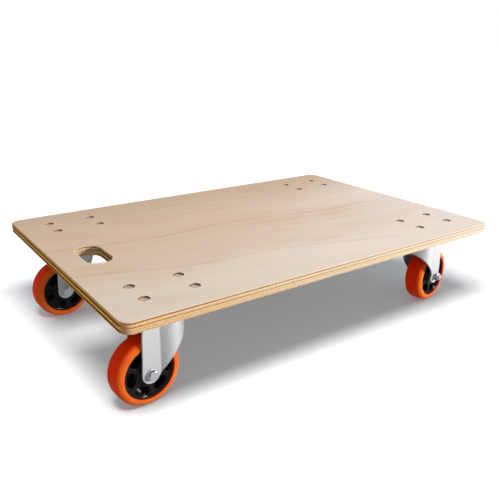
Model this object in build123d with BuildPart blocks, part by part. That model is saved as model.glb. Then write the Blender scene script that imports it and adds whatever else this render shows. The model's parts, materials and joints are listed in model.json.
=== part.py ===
from build123d import *
import os
from math import asin, cos, pi, radians, sin, sqrt, tan, tau

# A flat plywood dolly on four swivel casters.
# Millimetres, +Z up, origin on the floor under the middle of the deck.
# The end with the hand slot is the front (-X). Left is -Y and right is +Y, facing the front.

# Deck board
deck_length = 720.0
deck_width = 480.0
deck_thickness = 16.0
deck_corner_radius = 16.0
deck_edge_round = 1.2
slot_length = 82.0  # across the deck
slot_width = 40.0  # along the deck
slot_inset = 60.5  # front edge to the middle of the slot
slot_edge_round = 1.5

# Caster places
caster_inset_x = 91.0  # short edge of the deck to the swivel axis
caster_inset_y = 75.5  # long edge of the deck to the swivel axis
bolt_spacing_x = 75.0
bolt_spacing_y = 45.0

# Deck bolts (M8 with a flat round head on a square neck), washers and nuts
bolt_radius = 4.0
bolt_hole_clearance = 0.35
bolt_head_radius = 7.4
bolt_head_height = 2.5
bolt_head_recess = 2.0  # deck face to the top of the head
bolt_head_round = 0.8
bolt_neck_height = 4.0
bolt_neck_clearance = 0.15
bolt_end = 2.0  # thread past the nut
counterbore_clearance = 0.6
washer_radius = 8.0
washer_thickness = 1.6
deck_nut_flats = 13.0
deck_nut_height = 6.5
thread_clearance = 0.05

# Wheel
wheel_diameter = 100.0
tread_width = 34.0
tread_thickness = 11.0
tread_shoulder = 9.5
tread_lip_round = 1.0
tread_overhang = 1.8  # tread face to hub face, on each side
hub_rim_wall = 4.0
hub_boss_wall = 6.0
hub_web = 6.0
hub_edge_round = 1.6
spoke_count = 6
spoke_width = 7.0
spoke_recess = 2.0  # hub face to spoke face
pocket_corner = 4.5
pocket_edge_round = 0.8
pocket_ledge = 0.4  # flat left between a pocket's round edge and the rim or the boss

# Wheel bearings (12 x 28 x 8)
bearing_bore = 12.0
bearing_outside = 28.0
bearing_width = 8.0
bearing_recess = 0.7  # hub face to bearing face
bearing_shoulder = 2.5
bearing_ball_diameter = 4.0
bearing_groove_depth = 0.6
bearing_ball_gap = 2.6
shield_thickness = 0.5
shield_gap = 0.4
seat_clearance = 0.02

# Axle (M8)
axle_radius = 4.0
axle_clearance = 0.25
axle_head_flats = 13.0
axle_head_height = 6.6
axle_nut_flats = 13.0
axle_nut_height = 7.4
axle_flange_radius = 8.5
axle_flange_height = 1.6
axle_flange_round = 0.5
axle_collar_height = 2.0
axle_collar_wall = 1.6
axle_end = 2.0  # thread past the nut
spacer_wall = 2.0
hex_chamfer_angle = 60.0  # degrees from its axis, at the corners of each hex head and nut

# Fork, pressed from one sheet
fork_sheet = 2.5
wheel_side_gap = 1.3
swivel_trail = 34.0  # swivel axis to axle
leg_radius = 14.0
leg_lean = 2.5  # degrees, rear edge of the leg
leg_top_corner = 12.0
leg_edge_round = 0.8  # outer edges of the legs
bend_radius = 4.0  # outside of the bends
dome_bulge = 7.2  # dome wall past the leg faces
dome_rise = 10.0  # crown above the bridge between the legs
crease_round = 3.0  # where the legs meet the dome
skirt_depth = 27.0  # crown to the lower edge at the front
horn_start_angle = 213.0  # degrees round the leg end, where the lower edge leaves it

# Swivel
plate_thickness = 3.0
plate_edge_x = 8.5  # bolt hole to the plate's edge
plate_edge_y = 9.5
plate_corner_radius = 8.0
plate_hole_clearance = 0.35
cup_margin = 5.5  # ball circle to the outside of the cup
cup_round = 2.0
ball_diameter = 6.0
ball_gap = 0.5
race_depth = 1.2
race_clearance = 0.1
race_inset = 8.5  # dome wall to the upper ball circle
lower_race_margin = 4.5  # ball circle to the rim of the lower race
lower_race_thickness = 4.0
king_pin_radius = 6.0
king_pin_clearance = 0.3
king_head_radius = 12.0
king_head_height = 4.0
king_nut_flats = 18.0
king_nut_height = 7.0
king_pin_end = 2.0  # thread past the nut
end_chamfer = 0.8
swing_clearance = 1.0  # bolt ends to the crown that turns under them
wheel_headroom = 13.6  # top of the wheel to the end of the king pin

same_size = 0.01  # radii closer than this count as equal

# Each caster: side along X, side along Y, heading of its trail and turn of its wheel, in degrees
casters = {
    "front_left": (-1, -1, 184.6, 7.0),
    "front_right": (-1, 1, 183.5, 7.0),
    "rear_left": (1, -1, 9.1, 8.0),
    "rear_right": (1, 1, 5.0, 21.0),
}

# Heights, from the floor up
axle_height = wheel_diameter / 2
race_radius = ball_diameter / 2 + race_clearance
race_gap = 2 * (race_radius - race_depth)
king_pin_bottom = wheel_diameter + wheel_headroom
king_nut_bottom = king_pin_bottom + king_pin_end
lower_race_bottom = king_nut_bottom + king_nut_height
lower_race_top = lower_race_bottom + lower_race_thickness
crown_under = lower_race_top + race_gap
crown_top = crown_under + fork_sheet
cup_under = crown_top + race_gap
plate_under = crown_top + swing_clearance + bolt_end + deck_nut_height + washer_thickness
plate_top = plate_under + plate_thickness
deck_top = plate_top + deck_thickness
cup_floor = cup_under + plate_thickness
upper_balls_height = crown_top + race_gap / 2
lower_balls_height = lower_race_top + race_gap / 2
bridge_top = crown_top - dome_rise
bridge_under = bridge_top - fork_sheet

# Widths of the fork and the swivel, from the swivel axis out
leg_inside = tread_width / 2 + wheel_side_gap
leg_outside = leg_inside + fork_sheet
dome_radius = leg_outside + dome_bulge
upper_circle = dome_radius - race_inset
lower_circle = upper_circle - ball_diameter - ball_gap
cup_radius = upper_circle + cup_margin
plate_length = bolt_spacing_x + 2 * plate_edge_x
plate_width = bolt_spacing_y + 2 * plate_edge_y

# Wheel sizes, from its centre out
wheel_radius = wheel_diameter / 2
hub_radius = wheel_radius - tread_thickness
hub_half = tread_width / 2 - tread_overhang
dish_outside = hub_radius - hub_rim_wall
dish_inside = bearing_outside / 2 + hub_boss_wall
pocket_outside = dish_outside - pocket_ledge - pocket_edge_round
pocket_inside = dish_inside + pocket_ledge + pocket_edge_round
widest_pocket_corner = (pocket_outside - pocket_inside) / 2.5  # two corners and a straight between them
bearing_face = hub_half - bearing_recess
bearing_back = bearing_face - bearing_width
bearing_middle = (bearing_face + bearing_back) / 2
bearing_section = bearing_ball_diameter - 2 * bearing_groove_depth
bearing_ring = ((bearing_outside - bearing_bore) / 2 - bearing_section) / 2
bearing_circle = (bearing_outside + bearing_bore) / 4
bearing_groove = bearing_ball_diameter / 2 + race_clearance
sleeve_radius = bearing_bore / 2 - seat_clearance

# Places of the casters and of the bolts
caster_x = deck_length / 2 - caster_inset_x
caster_y = deck_width / 2 - caster_inset_y
deck_bolt_places = [
    (side_x * caster_x + step_x * bolt_spacing_x / 2, side_y * caster_y + step_y * bolt_spacing_y / 2)
    for side_x, side_y, heading, turn in casters.values()
    for step_x in (-1, 1)
    for step_y in (-1, 1)
]
king_pin_places = [
    (side_x * caster_x, side_y * caster_y) for side_x, side_y, heading, turn in casters.values()
]


def ball_count(circle, diameter, gap):
    """How many balls fit round a circle of this radius, a gap apart."""
    return int(tau / (2 * asin((diameter + gap) / (2 * circle))))


def round_edges(piece, radius):
    """The round edges of a piece that have this radius."""
    circles = piece.edges().filter_by(GeomType.CIRCLE)
    return circles.filter_by(lambda edge: abs(edge.radius - radius) < same_size)


def hex_nut(flats, height, hole_radius):
    """A hex nut standing on the XY plane, its corners chamfered at both faces."""
    with BuildPart() as nut:
        with BuildSketch():
            RegularPolygon(flats / 2, 6, major_radius=False)
        extrude(amount=height)
        for face_height, way in ((0, 1), (height, -1)):
            with BuildSketch(Plane.XY.offset(face_height)):
                Circle(flats / 2)
            extrude(amount=way * height, taper=-hex_chamfer_angle, mode=Mode.INTERSECT)
        with BuildSketch():
            Circle(hole_radius)
        extrude(amount=height, mode=Mode.SUBTRACT)
    return nut.part


# Deck board with eased edges, the hand slot and the counterbored bolt holes, square below the heads
bolt_head_under = deck_top - bolt_head_recess - bolt_head_height
neck_hole = 2 * (bolt_radius + bolt_neck_clearance)
with BuildPart() as deck_board:
    with BuildSketch(Plane.XY.offset(plate_top)):
        RectangleRounded(deck_length, deck_width, deck_corner_radius)
    extrude(amount=deck_thickness)
    flat_edges = deck_board.edges().group_by(Axis.Z)
    fillet(flat_edges[0] + flat_edges[-1], deck_edge_round)
    with BuildSketch(Plane.XY.offset(plate_top)):
        with Locations((slot_inset - deck_length / 2, 0)):
            SlotOverall(slot_length, slot_width, rotation=90)
    extrude(amount=deck_thickness, mode=Mode.SUBTRACT)
    slot_rims = deck_board.edges(Select.LAST).group_by(Axis.Z)
    fillet(slot_rims[0] + slot_rims[-1], slot_edge_round)
    with Locations(Plane.XY.offset(deck_top)):
        with Locations(*deck_bolt_places):
            CounterBoreHole(
                radius=bolt_radius + bolt_hole_clearance,
                counter_bore_radius=bolt_head_radius + counterbore_clearance,
                counter_bore_depth=bolt_head_recess + bolt_head_height,
                depth=deck_thickness,
            )
    with BuildSketch(Plane.XY.offset(bolt_head_under)):
        with Locations(*deck_bolt_places):
            Rectangle(neck_hole, neck_hole)
    extrude(amount=-bolt_neck_height - bolt_neck_clearance, mode=Mode.SUBTRACT)

# Deck bolts: flat round head, square neck in the deck, shank down through deck, plate, washer and nut
washer_bottom = plate_under - washer_thickness
deck_nut_bottom = washer_bottom - deck_nut_height
with BuildPart() as deck_bolts:
    with BuildSketch(Plane.XY.offset(bolt_head_under)):
        with Locations(*deck_bolt_places):
            Circle(bolt_head_radius)
    extrude(amount=bolt_head_height)
    fillet(deck_bolts.edges().group_by(Axis.Z)[-1], bolt_head_round)
    with BuildSketch(Plane.XY.offset(bolt_head_under)):
        with Locations(*deck_bolt_places):
            Circle(bolt_radius)
    extrude(amount=deck_nut_bottom - bolt_end - bolt_head_under)
    chamfer(deck_bolts.edges().group_by(Axis.Z)[0], end_chamfer)
    with BuildSketch(Plane.XY.offset(bolt_head_under)):
        with Locations(*deck_bolt_places):
            Rectangle(2 * bolt_radius, 2 * bolt_radius)
    extrude(amount=-bolt_neck_height)

# Deck washers, against the undersides of the top plates
with BuildPart() as deck_washers:
    with BuildSketch(Plane.XY.offset(washer_bottom)):
        with Locations(*deck_bolt_places):
            Circle(washer_radius)
            Circle(bolt_radius + bolt_hole_clearance, mode=Mode.SUBTRACT)
    extrude(amount=washer_thickness)

# Deck nuts, under the washers
with BuildPart() as deck_nuts:
    with Locations(Plane.XY.offset(deck_nut_bottom)):
        with Locations(*deck_bolt_places):
            add(hex_nut(deck_nut_flats, deck_nut_height, bolt_radius + thread_clearance))

# King pins: head in the cup of the top plate, shank down through the crown, the lower race and the nut
with BuildPart() as king_pins:
    with BuildSketch(Plane.XY.offset(cup_floor)):
        with Locations(*king_pin_places):
            Circle(king_head_radius)
    extrude(amount=king_head_height)
    with BuildSketch(Plane.XY.offset(cup_floor)):
        with Locations(*king_pin_places):
            Circle(king_pin_radius)
    extrude(amount=king_pin_bottom - cup_floor)
    ends = king_pins.edges().group_by(Axis.Z)
    chamfer(ends[0] + ends[-1], end_chamfer)

# King nuts, under the lower races
with BuildPart() as king_nuts:
    with Locations(Plane.XY.offset(king_nut_bottom)):
        with Locations(*king_pin_places):
            add(hex_nut(king_nut_flats, king_nut_height, king_pin_radius + thread_clearance))

# From here each piece of a caster is made once, about its swivel axis, with the trail along +X

# Top plate with its pressed cup, the upper ball groove under the cup and the bolt holes
with BuildPart() as top_plate:
    with BuildSketch(Plane.XY.offset(plate_under)):
        RectangleRounded(plate_length, plate_width, plate_corner_radius)
    extrude(amount=plate_thickness)
    with BuildSketch(Plane.XY.offset(cup_under)):
        Circle(cup_radius)
    extrude(amount=plate_under - cup_under)
    fillet(top_plate.edges().group_by(Axis.Z)[0], cup_round)
    with BuildSketch(Plane.XY.offset(cup_floor)):
        Circle(cup_radius - plate_thickness)
    extrude(amount=plate_top - cup_floor, mode=Mode.SUBTRACT)
    with BuildSketch(Plane.XZ):
        with Locations((upper_circle, upper_balls_height)):
            Circle(race_radius)
    revolve(axis=Axis.Z, mode=Mode.SUBTRACT)
    with Locations((0, 0, cup_floor)):
        Hole(king_pin_radius + seat_clearance, depth=plate_thickness)
    with Locations(Plane.XY.offset(plate_top)):
        with GridLocations(bolt_spacing_x, bolt_spacing_y, 2, 2):
            Hole(bolt_radius + plate_hole_clearance, depth=plate_thickness)

# Lower race: a grooved ring that the king nut holds up under the crown
with BuildPart() as lower_race:
    with BuildSketch(Plane.XY.offset(lower_race_bottom)):
        Circle(lower_circle + lower_race_margin)
        Circle(king_pin_radius + seat_clearance, mode=Mode.SUBTRACT)
    extrude(amount=lower_race_thickness)
    chamfer(lower_race.edges().group_by(Axis.Z)[0].sort_by(SortBy.LENGTH)[-1], end_chamfer)
    with BuildSketch(Plane.XZ):
        with Locations((lower_circle, lower_balls_height)):
            Circle(race_radius)
    revolve(axis=Axis.Z, mode=Mode.SUBTRACT)

# Swivel balls: one ring above the crown and one ring below it
with BuildPart() as swivel_balls:
    for circle, height in ((upper_circle, upper_balls_height), (lower_circle, lower_balls_height)):
        with Locations((0, 0, height)):
            with PolarLocations(circle, ball_count(circle, ball_diameter, ball_gap)):
                Sphere(ball_diameter / 2)

# Room inside the fork: a round space under the crown and the wheel's space between the legs, open behind
# the bridge that joins them
leg_reach = swivel_trail + leg_radius
with BuildPart() as fork_room:
    with BuildSketch():
        with Locations((leg_reach, 0)):
            Rectangle(2 * leg_reach, 2 * leg_inside)
    extrude(amount=bridge_under)
    fillet(fork_room.edges().filter_by(Axis.X).group_by(Axis.Z)[-1], bend_radius - fork_sheet)
    with BuildSketch():
        Circle(dome_radius - fork_sheet)
    extrude(amount=crown_under)
    fillet(fork_room.edges().group_by(Axis.Z)[-1], bend_radius - fork_sheet)
    with BuildSketch():
        with Locations((leg_reach - leg_top_corner, 0)):
            Rectangle(leg_reach, 2 * leg_inside, align=(Align.MIN, Align.CENTER))
    extrude(amount=crown_top)

# Fork: the outside of the pressing less its room, cut to the side outline, then bored and grooved
leg_end = Vector(swivel_trail, axle_height)
horn_angle = radians(horn_start_angle)
horn_start = leg_end + Vector(cos(horn_angle), sin(horn_angle)) * leg_radius
horn_way = Vector(sin(horn_angle), -cos(horn_angle))
skirt_front = Vector(-dome_radius, crown_top - skirt_depth)
lean_angle = radians(leg_lean)
rear_edge = leg_end + Vector(cos(lean_angle), sin(lean_angle)) * leg_radius
rear_way = Vector(-tan(lean_angle), 1)
low_angle = (lean_angle + horn_angle) / 2 - pi  # the long way round, under the axle
leg_low = leg_end + Vector(cos(low_angle), sin(low_angle)) * leg_radius
corner_low = rear_edge + rear_way * (bridge_top - leg_top_corner - rear_edge.Y)
corner_high = Vector(corner_low.X - leg_top_corner, bridge_top + fork_sheet / 2)
with BuildPart() as fork:
    with BuildSketch():
        with Locations((leg_reach, 0)):
            Rectangle(2 * leg_reach, 2 * leg_outside)
    extrude(amount=bridge_top)
    fillet(fork.edges().filter_by(Axis.X).group_by(Axis.Z)[-1], bend_radius)
    with BuildSketch():
        Circle(dome_radius)
    extrude(amount=crown_top)
    crease_x = sqrt(dome_radius**2 - leg_outside**2)
    upright_edges = fork.edges().filter_by(Axis.Z)
    fillet(upright_edges.filter_by_position(Axis.X, crease_x / 2, swivel_trail), crease_round)
    fillet(fork.edges().group_by(Axis.Z)[-1], bend_radius)
    add(fork_room.part, mode=Mode.SUBTRACT)
    with BuildSketch(Plane.XZ):
        with BuildLine():
            horn = TangentArc(horn_start, skirt_front, tangent=horn_way)
            Polyline(horn @ 1, (skirt_front.X, crown_top), (corner_high.X, crown_top), corner_high)
            TangentArc(corner_low, corner_high, tangent=rear_way)
            Line(corner_low, rear_edge)
            ThreePointArc(rear_edge, leg_low, horn_start)
        make_face()
    extrude(amount=dome_radius, both=True, mode=Mode.INTERSECT)
    leg_ends = round_edges(fork, leg_radius).group_by(Axis.Y)
    fillet(leg_ends[0] + leg_ends[-1], leg_edge_round)
    for circle, height in ((upper_circle, upper_balls_height), (lower_circle, lower_balls_height)):
        with BuildSketch(Plane.XZ):
            with Locations((circle, height)):
                Circle(race_radius)
        revolve(axis=Axis.Z, mode=Mode.SUBTRACT)
    with Locations((0, 0, crown_top)):
        Hole(king_pin_radius + king_pin_clearance, depth=fork_sheet)
    with BuildSketch(Plane.XZ):
        with Locations((swivel_trail, axle_height)):
            Circle(axle_radius + axle_clearance)
    extrude(amount=leg_outside, both=True, mode=Mode.SUBTRACT)

# From here each piece of a wheel is made once, about its centre, with the axle along +Y

# Axle bolt: flanged hex head outside the leg at +Y, plain shank through to the nut
head_plane = Plane.XZ.offset(-leg_outside)
nut_plane = Plane.XZ.offset(leg_outside)
with BuildPart() as axle_bolt:
    with BuildSketch(head_plane):
        RegularPolygon(axle_head_flats / 2, 6, major_radius=False)
    extrude(amount=-axle_head_height)
    with BuildSketch(head_plane.offset(-axle_head_height)):
        Circle(axle_head_flats / 2)
    extrude(amount=axle_head_height, taper=-hex_chamfer_angle, mode=Mode.INTERSECT)
    with BuildSketch(head_plane):
        Circle(axle_flange_radius)
    extrude(amount=-axle_flange_height)
    fillet(round_edges(axle_bolt, axle_flange_radius).sort_by(Axis.Y)[-1], axle_flange_round)
    with BuildSketch(head_plane):
        Circle(axle_radius)
    extrude(amount=2 * leg_outside + axle_nut_height + axle_collar_height + axle_end)
    chamfer(axle_bolt.edges().group_by(Axis.Y)[0], end_chamfer)

# Axle nut at -Y: a flanged hex with the round collar of its locking ring
with BuildPart() as axle_nut:
    with Locations(nut_plane):
        add(hex_nut(axle_nut_flats, axle_nut_height, axle_radius + thread_clearance))
    with BuildSketch(nut_plane):
        Circle(axle_flange_radius)
        Circle(axle_radius + thread_clearance, mode=Mode.SUBTRACT)
    extrude(amount=axle_flange_height)
    fillet(round_edges(axle_nut, axle_flange_radius).sort_by(Axis.Y)[0], axle_flange_round)
    with BuildSketch(nut_plane.offset(axle_nut_height)):
        Circle(axle_radius + axle_collar_wall)
        Circle(axle_radius + thread_clearance, mode=Mode.SUBTRACT)
    extrude(amount=axle_collar_height)

# Axle sleeve, from leg to leg round the bolt
with BuildPart() as axle_sleeve:
    with BuildSketch(Plane.XZ):
        Circle(sleeve_radius)
        Circle(axle_radius + axle_clearance, mode=Mode.SUBTRACT)
    extrude(amount=leg_inside, both=True)

# Axle spacers, between each bearing's inner ring and the leg beside it
with BuildPart() as axle_spacers:
    for side in (-1, 1):
        with BuildSketch(Plane.XZ.offset(side * bearing_face)):
            Circle(bearing_bore / 2 + spacer_wall)
            Circle(bearing_bore / 2, mode=Mode.SUBTRACT)
        extrude(amount=side * (leg_inside - bearing_face))

# Bearing inner rings, on the sleeve, with the ball groove outside
with BuildPart() as bearing_inner_rings:
    for side in (-1, 1):
        with BuildSketch(Plane.XY):
            with Locations(((bearing_bore + bearing_ring) / 2, side * bearing_middle)):
                Rectangle(bearing_ring, bearing_width)
            with Locations((bearing_circle, side * bearing_middle)):
                Circle(bearing_groove, mode=Mode.SUBTRACT)
        revolve(axis=Axis.Y)

# Bearing outer rings, in the hub's seats, each with a shield on its outer face
with BuildPart() as bearing_outer_rings:
    shield_inside = bearing_bore / 2 + bearing_ring + shield_gap
    for side in (-1, 1):
        with BuildSketch(Plane.XY):
            with Locations(((bearing_outside - bearing_ring) / 2, side * bearing_middle)):
                Rectangle(bearing_ring, bearing_width)
            with Locations((bearing_circle, side * bearing_middle)):
                Circle(bearing_groove, mode=Mode.SUBTRACT)
            with Locations((shield_inside, side * bearing_face)):
                Rectangle(
                    bearing_outside / 2 - shield_inside,
                    shield_thickness,
                    align=(Align.MIN, Align.MAX if side > 0 else Align.MIN),
                )
        revolve(axis=Axis.Y)

# Bearing balls, a ring of them in each bearing
with BuildPart() as bearing_balls:
    count = ball_count(bearing_circle, bearing_ball_diameter, bearing_ball_gap)
    for side in (-1, 1):
        with Locations(Plane.XZ.offset(side * bearing_middle)):
            with PolarLocations(bearing_circle, count):
                Sphere(bearing_ball_diameter / 2)

# Wheel hub: raised rim, boss with a bearing seat on each side, and in the dish between them round-edged
# pockets between spokes, down to a web
with BuildPart() as wheel_hub:
    with BuildSketch(Plane.XY):
        with Locations((hub_radius / 2, 0)):
            Rectangle(hub_radius, 2 * hub_half)
        for side in (-1, 1):
            with Locations(((dish_inside + dish_outside) / 2, side * hub_half)):
                Rectangle(dish_outside - dish_inside, 2 * spoke_recess, mode=Mode.SUBTRACT)
        Rectangle(bearing_outside - 2 * bearing_shoulder, 2 * hub_half, mode=Mode.SUBTRACT)
        for side in (-1, 1):
            with Locations((0, side * bearing_back)):
                Rectangle(
                    bearing_outside + 2 * seat_clearance,
                    bearing_width + bearing_recess,
                    align=(Align.CENTER, Align.MIN if side > 0 else Align.MAX),
                    mode=Mode.SUBTRACT,
                )
    revolve(axis=Axis.Y)
    circles = wheel_hub.edges().filter_by(GeomType.CIRCLE).group_by(Axis.Y)
    rims = (circles[0] + circles[-1]).filter_by(lambda edge: edge.radius < hub_radius - hub_edge_round)
    fillet(rims, hub_edge_round)
    for side in (-1, 1):
        with BuildSketch(Plane.XZ.offset(side * hub_half)) as pockets:
            Circle(pocket_outside)
            Circle(pocket_inside, mode=Mode.SUBTRACT)
            with PolarLocations(0, spoke_count, start_angle=180 / spoke_count):
                Rectangle(
                    pocket_outside, spoke_width, align=(Align.MIN, Align.CENTER), mode=Mode.SUBTRACT
                )
            fillet(pockets.vertices(), min(pocket_corner, widest_pocket_corner))
        extrude(amount=-side * (hub_half - hub_web / 2), mode=Mode.SUBTRACT)
        pocket_edges = wheel_hub.edges(Select.LAST).group_by(Axis.Y)
        fillet(pocket_edges[0 if side > 0 else -1], pocket_edge_round)

# Wheel tread: bonded round the hub, with round shoulders
with BuildPart() as wheel_tread:
    with BuildSketch(Plane.XY) as tread_section:
        with Locations((hub_radius, 0)):
            Rectangle(tread_thickness, tread_width, align=(Align.MIN, Align.CENTER))
        corners = tread_section.vertices().group_by(Axis.X)
        fillet(corners[-1], tread_shoulder)
        fillet(corners[0], tread_lip_round)
    revolve(axis=Axis.Y)

# Pieces of each caster, by what they stay with
plate_pieces = {"top_plate": top_plate, "lower_race": lower_race, "swivel_balls": swivel_balls}
fork_pieces = {"fork": fork}
axle_pieces = {
    "axle_bolt": axle_bolt,
    "axle_nut": axle_nut,
    "axle_sleeve": axle_sleeve,
    "axle_spacers": axle_spacers,
    "bearing_inner_rings": bearing_inner_rings,
}
wheel_pieces = {
    "wheel_tread": wheel_tread,
    "wheel_hub": wheel_hub,
    "bearing_outer_rings": bearing_outer_rings,
    "bearing_balls": bearing_balls,
}

os.makedirs("parts", exist_ok=True)


def write_piece(piece, node):
    """Name a piece after its node and write it to its own file."""
    piece.label = node
    export_step(piece, f"parts/{node}.step")


write_piece(deck_board.part, "deck_board")
write_piece(deck_bolts.part, "deck_bolts")
write_piece(deck_washers.part, "deck_washers")
write_piece(deck_nuts.part, "deck_nuts")
write_piece(king_pins.part, "king_pins")
write_piece(king_nuts.part, "king_nuts")

for caster, (side_x, side_y, heading, turn) in casters.items():
    at_plate = Location((side_x * caster_x, side_y * caster_y, 0))
    at_fork = at_plate * Location((0, 0, 0), (0, 0, heading))
    at_axle = at_fork * Location((swivel_trail, 0, axle_height))
    at_wheel = at_axle * Location((0, 0, 0), (0, turn, 0))
    groups = (
        (at_plate, plate_pieces),
        (at_fork, fork_pieces),
        (at_axle, axle_pieces),
        (at_wheel, wheel_pieces),
    )
    for place, pieces in groups:
        for name, piece in pieces.items():
            write_piece(place * piece.part, f"{caster}_{name}")
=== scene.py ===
import json
import math

import bpy
from mathutils import Matrix, Vector


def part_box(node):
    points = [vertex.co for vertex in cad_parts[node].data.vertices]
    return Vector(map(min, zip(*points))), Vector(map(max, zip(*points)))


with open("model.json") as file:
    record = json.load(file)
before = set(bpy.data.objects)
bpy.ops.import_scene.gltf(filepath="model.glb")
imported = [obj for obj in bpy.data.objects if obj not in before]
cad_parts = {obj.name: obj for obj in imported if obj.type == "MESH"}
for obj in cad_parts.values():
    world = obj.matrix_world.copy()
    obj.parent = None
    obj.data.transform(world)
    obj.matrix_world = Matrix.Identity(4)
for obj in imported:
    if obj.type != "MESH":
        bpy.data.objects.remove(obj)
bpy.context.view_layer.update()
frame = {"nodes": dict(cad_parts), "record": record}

# Sizes are in metres, in the frame of the CAD model: floor at zero, hand slot towards -X
nodes = frame["nodes"]
deck_low, deck_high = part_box("deck_board")
deck_thickness = deck_high.z - deck_low.z

# Camera, at the photograph's place and framing
camera_place = (-0.5936, -0.7995, 0.4732)
camera_yaw = 54.862  # degrees from +X towards +Y
camera_pitch = -20.085  # degrees above the horizon
camera_roll = 0.593  # degrees
camera_lens = 41.58  # mm
camera_sensor = 36.0  # mm
camera_shift = 0.025  # of the frame's width
camera_near = 0.01  # nothing nearer than this is seen

# Floor: it runs to the horizon. It is bluish under the object, against the warm light that the wood sends
# down, and turns neutral and then white further out. Distances are from the middle of the object.
floor_reach = 40.0
floor_colour = (0.70, 0.79, 0.86)
outer_floor_colour = (0.73, 0.79, 0.84)
outer_floor_from, outer_floor_to = 0.35, 0.60
white_floor_from, white_floor_to = 0.55, 1.2
floor_roughness = 0.9
floor_specular = 0.1
white = (1.0, 1.0, 1.0)

# Light: a faint fill all round, a soft box overhead and an even fill on the floor alone, and three soft
# boxes on the object alone. The soft boxes' light doesn't bounce, so that the floor and the wheels don't
# colour each other. Angles are in degrees, azimuths from +X towards +Y, and powers in watts.
fill_strength = 0.36
floor_fill_strength = 0.60
floor_light_colour = [min(floor_colour) / c for c in floor_colour]  # so that the lit floor is white
overhead_place = Vector((-0.40, -0.58, 1.39))
overhead_width, overhead_depth = 0.85, 0.64
overhead_power = 43.0
soft_boxes = {
    "main_light": {"azimuth": 24.0, "elevation": 52.0, "distance": 6.0, "size": 2.6, "power": 288.0},
    "key_light": {"azimuth": -51.0, "elevation": 14.0, "distance": 5.0, "size": 0.9, "power": 385.0},
    "front_light": {"azimuth": 215.0, "elevation": 6.0, "distance": 5.0, "size": 1.5, "power": 24.0},
}

# Face veneer: its colours, and where one turns into the next. Its paler zone along the left long edge and
# its whitening along the deck are painted sheen, and the duller -X end of the paler zone is painted shade
tan_veneer = (0.51, 0.385, 0.29)
# Painted sheen: the paler colour along the left long edge
painted_pale_veneer = (0.565, 0.48, 0.40)
# Painted light: the paler colour made brighter along the deck
painted_light_veneer = (0.605, 0.52, 0.455)
# Painted sheen: the whitening along the deck
painted_sheen_veneer = (0.565, 0.505, 0.45)
deep_veneer = (0.44, 0.328, 0.242)
blotch_veneer = (0.50, 0.33, 0.22)
line_veneer = (0.28, 0.145, 0.075)
painted_pale_from, painted_pale_to = -0.03, -0.21  # painted sheen: it turns paler towards the left long edge
painted_light_from, painted_light_to = -0.28, 0.0  # painted light: where it's paler, it's brighter along the deck, leaving painted shade at the -X end
painted_sheen_from, painted_sheen_to = 0.0, 0.40  # painted sheen: all of it whitens along the deck
deep_from, deep_to = 0.06, 0.22  # and deeper towards the right long edge
pale_blotches = 0.15  # the share of the blotches that is left where it's palest
blotches_from, blotches_to = 0.2, 1.2  # they fade as the painted sheen, paleness and whitening together, rises so far

# Grain of the veneer: it runs along X with a slope and a wave, and wanders sideways
grain_slope = 0.085
grain_wander = 0.015
wave_height = 0.008
wave_length = 0.36
wave_crest = -0.01  # a crest's place along X

# Growth lines: offset and slope against the grain, strength, width, first and last place along X
growth_lines = (
    (0.008, 0.0, 0.30, 0.010, -0.36, 0.25),
    (-0.155, -0.115, 0.20, 0.013, -0.36, 0.08),
    (0.160, -0.03, 0.14, 0.012, -0.25, 0.10),
    (0.064, 0.105, 0.12, 0.010, 0.15, 0.36),
)
line_fade = 0.12  # each line's ends fade over this
line_edge = 0.003  # and its sharp side over this
line_patches = 0.35  # its faintest patches, as a share of its strength

# Plies of the edges, from the underside up, as shares of the thickness
bright_ply = (0.56, 0.38, 0.20)
pale_ply = (0.50, 0.31, 0.15)
tan_ply = (0.40, 0.23, 0.10)
brown_ply = (0.22, 0.095, 0.032)
painted_light_ply = (0.60, 0.53, 0.41)  # painted light: what the edges pale to at +X
end_ply = (0.46, 0.20, 0.028)
gold_ply = (0.62, 0.335, 0.085)
dark_ply = (0.075, 0.028, 0.0055)
corner_ply = (0.37, 0.155, 0.06)  # what the rounded corners at the front turn to
long_edge_plies = (
    (0.0, bright_ply), (0.07, bright_ply), (0.09, tan_ply), (0.13, tan_ply), (0.15, pale_ply),
    (0.34, pale_ply), (0.37, tan_ply), (0.40, tan_ply), (0.42, bright_ply), (0.51, bright_ply),
    (0.53, brown_ply), (0.59, brown_ply), (0.61, pale_ply), (0.82, bright_ply), (0.84, brown_ply),
    (0.92, brown_ply), (0.945, pale_ply),
)
# Partly painted shade: the end-grain plies at -X are made darker and more golden, as shade and warm bounced
# light fall on that end
short_edge_plies = (
    (0.0, gold_ply), (0.11, gold_ply), (0.15, dark_ply), (0.29, dark_ply), (0.33, gold_ply),
    (0.56, gold_ply), (0.60, dark_ply), (0.73, dark_ply), (0.77, end_ply), (0.90, gold_ply),
    (0.95, pale_ply),
)
ply_paling = {brown_ply: 0.42, tan_ply: 0.55}  # how far the lines pale in the painted light at +X; all other plies do so fully
# Painted light: the long-edge plies paled towards the cream of the +X end
painted_light_plies = [
    (share, [ply + (cream - ply) * ply_paling.get(colour, 1.0) for ply, cream in zip(colour, painted_light_ply)])
    for share, colour in long_edge_plies
]
ply_waver = 0.015  # how far the plies waver
end_depth = 0.014  # end grain shows within this of the short edges, and inside the hand slot
slot_reach = 0.06  # within this of the deck's long middle line, the slot is the only opening
side_depth = 0.003  # further in than this from the long edges, long plies are on the walls of openings
opening_painted_light = 0.2  # painted light: how far the plies pale there
look_change = 0.001  # over which one of these looks turns into the next

# How far a surface turns, by its normal's share along X for the end plies and corners, along Z for the face
end_turn = (0.72, 1.0)
corner_turn_in, corner_turn_out = (0.40, 0.65), (0.85, 1.0)
face_turn = (0.55, 0.85)

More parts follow.
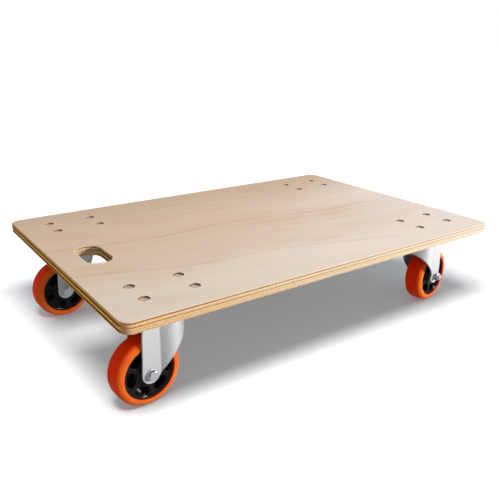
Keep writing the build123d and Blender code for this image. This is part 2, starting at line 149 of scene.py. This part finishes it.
# Noise of the wood: cells to the metre along X, Y and Z, and the range of the noise that shows
wander_cells = (2.4, 6.0, 1.0)
broad_cells, broad_range = (0.9, 11.0, 1.0), (0.25, 0.75)
blotch_cells, blotch_range = (8.0, 28.0, 1.0), (0.53, 0.70)
patch_cells, patch_range = (7.0, 14.0, 1.0), (0.3, 0.6)
streak_cells, streak_range = (1.6, 48.0, 1.0), (0.5, 0.8)
fibre_cells, fibre_range = (16.0, 800.0, 1.0), (0.45, 0.75)
end_grain_cells, end_grain_range = (520.0, 520.0, 260.0), (0.4, 0.75)
ply_cells = (6.0, 6.0, 90.0)

# How strongly the wood's looks show
broad_sway = 0.3  # how far broad streaks shift the paler part
blotch_strength = 0.5
streak_strength = 0.07
fibre_strength = 0.07
end_grain_strength = 0.35
corner_strength = 0.7
face_roughness = (0.62, 0.70)
edge_roughness = 0.2  # more than the face's

# Metals: colours and ranges of roughness, and noise in cells to the metre
metals = {
    "zinc_plate": {"colour": (0.56, 0.56, 0.565), "roughness": (0.57, 0.62)},
    "bright_zinc": {"colour": (0.66, 0.67, 0.69), "roughness": (0.42, 0.48)},
    "bearing_steel": {"colour": (0.50, 0.51, 0.53), "roughness": (0.16, 0.22)},
}
metal_shade = 0.96  # the darker clouds, as a share of the colour
metal_cloud_cells = (38.0,) * 3
drawing_cells = (700.0, 700.0, 180.0)
bolt_colour, bolt_cloud_colour = (0.52, 0.46, 0.35), (0.46, 0.40, 0.29)
bolt_roughness = (0.36, 0.46)
bolt_metallic = 0.35
bolt_cloud_cells = (160.0,) * 3

# Tyres
# Painted light and shade: the running surface is redder and darker, the flanks brighter orange
painted_shade_running_colour = (0.74, 0.030, 0.001)
painted_light_flank_colour = (0.60, 0.117, 0.017)
tyre_cloud_colour = (0.4, 0.02, 0.001)
tyre_cloud_strength = 0.1
tyre_tint = (1.0, 0.35, 0.12)  # of its gloss
tyre_roughness = (0.30, 0.38)
tyre_radius = (0.010, 0.0012, 0.0003)  # how deep red, green and blue light go in
flank_turn = (0.35, 0.85)  # how far a surface turns, by its normal's share along the axle
tyre_cloud_cells = (40.0,) * 3
tyre_skin_cells = (1200.0,) * 3

# Wheel centres
hub_colour, hub_cloud_colour = (0.006, 0.0042, 0.005), (0.011, 0.008, 0.0095)
hub_roughness = (0.08, 0.12)
hub_cloud_cells = (30.0,) * 3
hub_peel_cells = (260.0,) * 3

usual_noise = (0.3, 0.7)  # the range that noise mostly keeps to


class Shader:
    """One procedural material, with short ways to add its nodes."""

    def __init__(self, name):
        self.material = bpy.data.materials.new(name)
        self.material.use_nodes = True
        self.tree = self.material.node_tree
        self.surface = self.tree.nodes["Principled BSDF"]
        coords = self.tree.nodes.new("ShaderNodeTexCoord")
        self.place = coords.outputs["Object"]
        self.normal = coords.outputs["Normal"]

    def put(self, socket, value):
        """Set a socket to a value, or join another node's output to it."""
        if isinstance(value, bpy.types.NodeSocket):
            self.tree.links.new(value, socket)
        elif socket.type == "RGBA":
            socket.default_value = solid(value)
        else:
            socket.default_value = value

    def node(self, kind, inputs, **settings):
        made = self.tree.nodes.new("ShaderNode" + kind)
        for name, value in settings.items():
            setattr(made, name, value)
        for name, value in inputs.items():
            self.put(made.inputs[name], value)
        return made

    def set(self, **values):
        """Set sockets of the surface shader, named with _ for spaces."""
        for name, value in values.items():
            self.put(self.surface.inputs[name.replace("_", " ")], value)

    def axes(self, vector):
        """The parts of a vector along X, Y and Z."""
        return self.node("SeparateXYZ", {"Vector": vector}).outputs

    def math(self, operation, a, b=0.0, clamp=False):
        return self.node("Math", {0: a, 1: b}, operation=operation, use_clamp=clamp).outputs[0]

    def noise(self, cells, detail=3.0, roughness=0.5, place=None):
        """Noise from 0 to 1, with so many cells to the metre along X, Y and Z."""
        mapped = self.node("Mapping", {"Vector": place or self.place, "Scale": cells}).outputs[0]
        inputs = {"Vector": mapped, "Scale": 1.0, "Detail": detail, "Roughness": roughness}
        return self.node("TexNoise", inputs).outputs["Fac"]

    def spread(self, value, low, high, to_low=0.0, to_high=1.0):
        """Stretch value's range from low..high to to_low..to_high, and hold it there."""
        inputs = {"Value": value, "From Min": low, "From Max": high, "To Min": to_low, "To Max": to_high}
        return self.node("MapRange", inputs, clamp=True).outputs["Result"]

    def vary(self, noise, low, high):
        """Stretch noise's usual range to low..high."""
        return self.spread(noise, *usual_noise, low, high)

    def mix(self, factor, a, b):
        """Mix two colours, each of them three numbers or another node's output."""
        made = self.node("Mix", {"Factor": factor}, data_type="RGBA")
        first_colour, second_colour, mixed_colour = made.inputs[6], made.inputs[7], made.outputs[2]
        self.put(first_colour, a)
        self.put(second_colour, b)
        return mixed_colour

    def ramp(self, factor, stops):
        """Run through the stops' colours as factor goes from 0 to 1."""
        made = self.node("ValToRGB", {"Fac": factor})
        elements = made.color_ramp.elements
        while len(elements) < len(stops):
            elements.new(1.0)
        for element, (position, colour) in zip(elements, stops):
            element.position = position
            element.color = solid(colour)
        return made.outputs["Color"]

    def bump(self, height, distance, strength):
        inputs = {"Height": height, "Distance": distance, "Strength": strength}
        self.set(Normal=self.node("Bump", inputs).outputs["Normal"])


def solid(colour):
    return (*colour, 1.0)


def direction(azimuth, elevation):
    """Unit vector by its angles: from +X towards +Y, and above the horizon."""
    turn, rise = math.radians(azimuth), math.radians(elevation)
    return Vector((math.cos(rise) * math.cos(turn), math.cos(rise) * math.sin(turn), math.sin(rise)))


def line_strength(s, along, ring):
    """Strength of the growth lines, each sharp on one side and soft on the other."""
    lines = 0.0
    for offset, slope, strength, width, first, last in growth_lines:
        away = s.math("SUBTRACT", ring, s.math("MULTIPLY", along, slope))
        away = s.math("SUBTRACT", away, offset)
        sharp = s.spread(away, -line_edge, 0.0)
        soft = s.math("POWER", s.spread(away, 0.0, width, 1.0, 0.0), 2.0)
        start = s.spread(along, first - line_fade, first, 0.0, strength)
        end = s.spread(along, last, last + line_fade, 1.0, 0.0)
        line = s.math("MULTIPLY", s.math("MULTIPLY", sharp, soft), s.math("MULTIPLY", start, end))
        lines = s.math("ADD", line, lines)
    patchy = s.spread(s.noise(patch_cells, detail=2.0), *patch_range, line_patches, 1.0)
    return s.math("MULTIPLY", lines, patchy)


def veneer(s, where):
    """Colour of the rotary-cut face with its painted sheen and shade, and its fibre and streaks."""
    turns = s.math("MULTIPLY", s.math("SUBTRACT", where["X"], wave_crest), 2 * math.pi / wave_length)
    wave = s.math("MULTIPLY", s.math("COSINE", turns), wave_height)
    wander = s.spread(s.noise(wander_cells, detail=2.0), 0.0, 1.0, -grain_wander, grain_wander)
    tilt = s.math("MULTIPLY", where["X"], grain_slope)
    ring = s.math("ADD", where["Y"], s.math("SUBTRACT", s.math("ADD", tilt, wander), wave))
    grain = s.node("CombineXYZ", {"X": where["X"], "Y": ring, "Z": where["Z"]}).outputs[0]

    broad = s.noise(broad_cells, detail=2.0, place=grain)
    sway = s.spread(broad, *broad_range, -broad_sway, broad_sway)
    # Painted sheen: paler towards the left long edge, its border swayed by the veneer's broad streaks
    pale = s.math("ADD", s.spread(ring, painted_pale_from, painted_pale_to), sway, clamp=True)
    # Painted shade at the -X end: the paler zone brightens along the deck
    bright = s.spread(where["X"], painted_light_from, painted_light_to)
    # Painted sheen: the face whitens along the deck
    painted_sheen = s.spread(where["X"], painted_sheen_from, painted_sheen_to)
    face = s.mix(pale, tan_veneer, s.mix(bright, painted_pale_veneer, painted_light_veneer))
    face = s.mix(painted_sheen, face, painted_sheen_veneer)
    face = s.mix(s.spread(ring, deep_from, deep_to), face, deep_veneer)

    blotch = s.noise(blotch_cells, roughness=0.6, place=grain)
    blotch = s.spread(blotch, *blotch_range, 0.0, blotch_strength)
    fade = s.spread(s.math("ADD", pale, painted_sheen), blotches_from, blotches_to, 1.0, pale_blotches)
    face = s.mix(s.math("MULTIPLY", blotch, fade), face, blotch_veneer)

    face = s.mix(line_strength(s, where["X"], ring), face, line_veneer)
    streak = s.noise(streak_cells, place=grain)
    face = s.mix(s.spread(streak, *streak_range, 0.0, streak_strength), face, line_veneer)
    fibre = s.noise(fibre_cells, detail=2.0, roughness=0.6, place=grain)
    face = s.mix(s.spread(fibre, *fibre_range, 0.0, fibre_strength), face, line_veneer)
    return face, fibre, streak


def plies(s, where, facing):
    """Colour of the edges: plies that pale towards +X and on the walls of openings as painted light, and
    browner corners at the front.
    """
    share = s.math("DIVIDE", s.math("SUBTRACT", where["Z"], deck_low.z), deck_thickness)
    share = s.math("ADD", share, s.vary(s.noise(ply_cells, detail=2.0), -ply_waver, ply_waver))
    along = s.spread(where["X"], deck_low.x, deck_high.x)
    lengthways, sideways = (s.math("ABSOLUTE", where[axis]) for axis in "XY")
    end_line, side_line = deck_high.x - end_depth, deck_high.y - side_depth
    at_ends = s.spread(lengthways, end_line - look_change, end_line)
    at_slot = s.spread(sideways, slot_reach, slot_reach + look_change, 1.0, 0.0)
    # Painted light: the walls of openings pale a little
    inside = s.spread(sideways, side_line - look_change, side_line, opening_painted_light, 0.0)

    # Painted light: the edges pale towards +X
    far_edge = s.ramp(share, painted_light_plies)
    long_edge = s.mix(s.math("MAXIMUM", along, inside), s.ramp(share, long_edge_plies), far_edge)
    short_edge = s.mix(along, s.ramp(share, short_edge_plies), far_edge)
    turned = s.math("ABSOLUTE", facing["X"])
    end_on = s.math("MULTIPLY", s.spread(turned, *end_turn), s.math("MAXIMUM", at_ends, at_slot))
    edge = s.mix(end_on, long_edge, short_edge)

    rounded = s.spread(turned, *corner_turn_in)
    rounded = s.math("MULTIPLY", rounded, s.spread(turned, *corner_turn_out, corner_strength, 0.0))
    front = s.math("SUBTRACT", at_ends, along, clamp=True)
    return s.mix(s.math("MULTIPLY", rounded, front), edge, corner_ply)


def plywood():
    """Pale face veneer on top and below, alternating plies round the edges, with painted sheen, light and
    shade on them.
    """
    s = Shader("plywood")
    where, facing = s.axes(s.place), s.axes(s.normal)
    face, fibre, streak = veneer(s, where)
    end_grain = s.noise(end_grain_cells, roughness=0.65)
    pores = s.spread(end_grain, *end_grain_range, 0.0, end_grain_strength)
    edge = s.mix(pores, plies(s, where, facing), dark_ply)

    flat = s.spread(s.math("ABSOLUTE", facing["Z"]), *face_turn)
    s.set(Base_Color=s.mix(flat, edge, face))
    sheen = s.vary(streak, *face_roughness)
    s.set(Roughness=s.math("ADD", sheen, s.spread(flat, 0.0, 1.0, edge_roughness, 0.0)))
    s.set(Specular_IOR_Level=0.0)
    s.bump(s.math("ADD", fibre, end_grain), distance=0.00006, strength=0.5)
    return s.material


def metal(name):
    """Bright metal with faintly cloudy gloss and fine drawing marks."""
    s = Shader(name)
    colour = metals[name]["colour"]
    cloud = s.noise(metal_cloud_cells)
    s.set(Metallic=1.0)
    s.set(Base_Color=s.mix(s.vary(cloud, 0.0, 1.0), colour, [c * metal_shade for c in colour]))
    s.set(Roughness=s.vary(cloud, *metals[name]["roughness"]))
    s.bump(s.noise(drawing_cells, detail=2.0), distance=0.00001, strength=0.3)
    return s.material


def pale_zinc():
    """Duller zinc of the deck bolts, yellowed by varnish."""
    s = Shader("pale_zinc")
    cloud = s.noise(bolt_cloud_cells)
    s.set(Metallic=bolt_metallic)
    s.set(Base_Color=s.mix(s.vary(cloud, 0.0, 1.0), bolt_colour, bolt_cloud_colour))
    s.set(Roughness=s.vary(cloud, *bolt_roughness))
    s.bump(cloud, distance=0.00003, strength=0.3)
    return s.material


def polyurethane():
    """Cast orange polyurethane: a little translucent, bright on its flanks and redder where it runs, as
    painted light and shade.
    """
    s = Shader("orange_polyurethane")
    cloud = s.noise(tyre_cloud_cells)
    # Painted light on the flanks and painted shade on the running surface
    flank = s.spread(s.math("ABSOLUTE", s.axes(s.normal)["Y"]), *flank_turn)
    colour = s.mix(flank, painted_shade_running_colour, painted_light_flank_colour)
    s.set(Base_Color=s.mix(s.vary(cloud, 0.0, tyre_cloud_strength), colour, tyre_cloud_colour))
    s.set(Roughness=s.vary(cloud, *tyre_roughness))
    s.set(Subsurface_Weight=0.9, Subsurface_Scale=1.0, Subsurface_Radius=tyre_radius)
    s.set(Specular_IOR_Level=0.03, Specular_Tint=tyre_tint)
    s.bump(s.noise(tyre_skin_cells, detail=2.0), distance=0.00002, strength=0.3)
    return s.material


def black_plastic():
    """Glossy black moulding with a faint orange-peel skin."""
    s = Shader("black_plastic")
    cloud = s.noise(hub_cloud_cells)
    s.set(Base_Color=s.mix(cloud, hub_colour, hub_cloud_colour))
    s.set(Roughness=s.vary(cloud, *hub_roughness))
    s.set(Specular_IOR_Level=0.16)
    s.bump(s.noise(hub_peel_cells, detail=2.0), distance=0.00003, strength=0.3)
    return s.material


def dress_nodes():
    """Give each CAD node the procedural material of its slot, and some fasteners looks of their own."""
    looks = {
        "plywood": plywood(),
        "zinc_plate": metal("zinc_plate"),
        "orange_polyurethane": polyurethane(),
        "black_plastic": black_plastic(),
        "bearing_steel": metal("bearing_steel"),
    }
    bright_zinc = metal("bright_zinc")
    fasteners = {"deck_bolts": pale_zinc(), "axle_bolt": bright_zinc, "axle_nut": bright_zinc}
    for part in frame["record"]["subparts"]:
        look = looks[part["material_slot"]]
        for ending, own_look in fasteners.items():
            if part["node"].endswith(ending):
                look = own_look
        mesh = nodes[part["node"]].data
        mesh.materials.clear()
        mesh.materials.append(look)


def make_camera():
    data = bpy.data.cameras.new("camera")
    data.sensor_width = camera_sensor
    data.lens = camera_lens
    data.shift_x = camera_shift
    data.clip_start = camera_near
    camera = bpy.data.objects.new("camera", data)
    aim = direction(camera_yaw, camera_pitch).to_track_quat("-Z", "Y").to_matrix().to_4x4()
    roll = Matrix.Rotation(math.radians(camera_roll), 4, "Z")
    camera.matrix_world = Matrix.Translation(camera_place) @ aim @ roll
    bpy.context.scene.collection.objects.link(camera)
    bpy.context.scene.camera = camera


def make_background():
    """White all round, which lights the scene more faintly than it shows."""
    scene = bpy.context.scene
    scene.view_settings.view_transform = "Standard"
    scene.world = bpy.data.worlds.new("studio")
    scene.world.use_nodes = True
    tree = scene.world.node_tree
    shine = tree.nodes["Background"]
    shine.inputs["Color"].default_value = solid(white)
    seen = tree.nodes.new("ShaderNodeLightPath").outputs["Is Camera Ray"]
    level = tree.nodes.new("ShaderNodeMapRange")
    tree.links.new(seen, level.inputs["Value"])
    level.inputs["To Min"].default_value = fill_strength
    level.inputs["To Max"].default_value = 1.0
    tree.links.new(level.outputs["Result"], shine.inputs["Strength"])


def make_floor():
    """Plain pale floor, which is no part of the object."""
    mesh = bpy.data.meshes.new("floor")
    corners = [(x * floor_reach, y * floor_reach, 0.0) for x, y in ((-1, -1), (1, -1), (1, 1), (-1, 1))]
    mesh.from_pydata(corners, [], [(0, 1, 2, 3)])
    floor = bpy.data.objects.new("floor", mesh)
    bpy.context.scene.collection.objects.link(floor)
    s = Shader("floor")
    away = s.node("VectorMath", {0: s.place}, operation="LENGTH").outputs["Value"]
    outer = s.spread(away, outer_floor_from, outer_floor_to)
    s.set(Base_Color=s.mix(outer, floor_colour, outer_floor_colour))
    s.set(Roughness=floor_roughness, Specular_IOR_Level=floor_specular)
    s.set(Emission_Color=white, Emission_Strength=s.spread(away, white_floor_from, white_floor_to))
    mesh.materials.append(s.material)
    return floor


def add_light(name, kind, place, target, receivers, **settings):
    """Aim a light from a place at a target, and let it light the receivers alone."""
    data = bpy.data.lights.new(name, kind)
    for setting, value in settings.items():
        setattr(data, setting, value)
    if kind == "AREA":
        data.cycles.max_bounces = 0
    light = bpy.data.objects.new(name, data)
    light.location = place
    light.rotation_euler = (place - target).to_track_quat("Z", "Y").to_euler()
    light.visible_camera = False
    light.light_linking.receiver_collection = receivers
    bpy.context.scene.collection.objects.link(light)


def make_lights(floor):
    """Soft light on the floor and on the object, each by itself."""
    receivers = {}
    for state in ("INCLUDE", "EXCLUDE"):
        receivers[state] = bpy.data.collections.new("floor_" + state.lower())
        receivers[state].objects.link(floor)
        receivers[state].collection_objects[0].light_linking.link_state = state
    floor_alone, all_but_floor = receivers["INCLUDE"], receivers["EXCLUDE"]

    below = Vector((overhead_place.x, overhead_place.y, 0.0))
    overhead = {"energy": overhead_power, "color": floor_light_colour}
    overhead.update(shape="ELLIPSE", size=overhead_width, size_y=overhead_depth)
    add_light("floor_light", "AREA", overhead_place, below, floor_alone, **overhead)
    even_fill = {"energy": floor_fill_strength, "color": floor_light_colour, "use_shadow": False}
    add_light("floor_fill", "SUN", overhead_place, below, floor_alone, **even_fill)

    middle = (deck_low + deck_high) / 2
    for name, box in soft_boxes.items():
        place = middle + direction(box["azimuth"], box["elevation"]) * box["distance"]
        soft_box = {"energy": box["power"], "shape": "DISK", "size": box["size"]}
        add_light(name, "AREA", place, middle, all_but_floor, **soft_box)


dress_nodes()
make_camera()
make_background()
make_lights(make_floor())
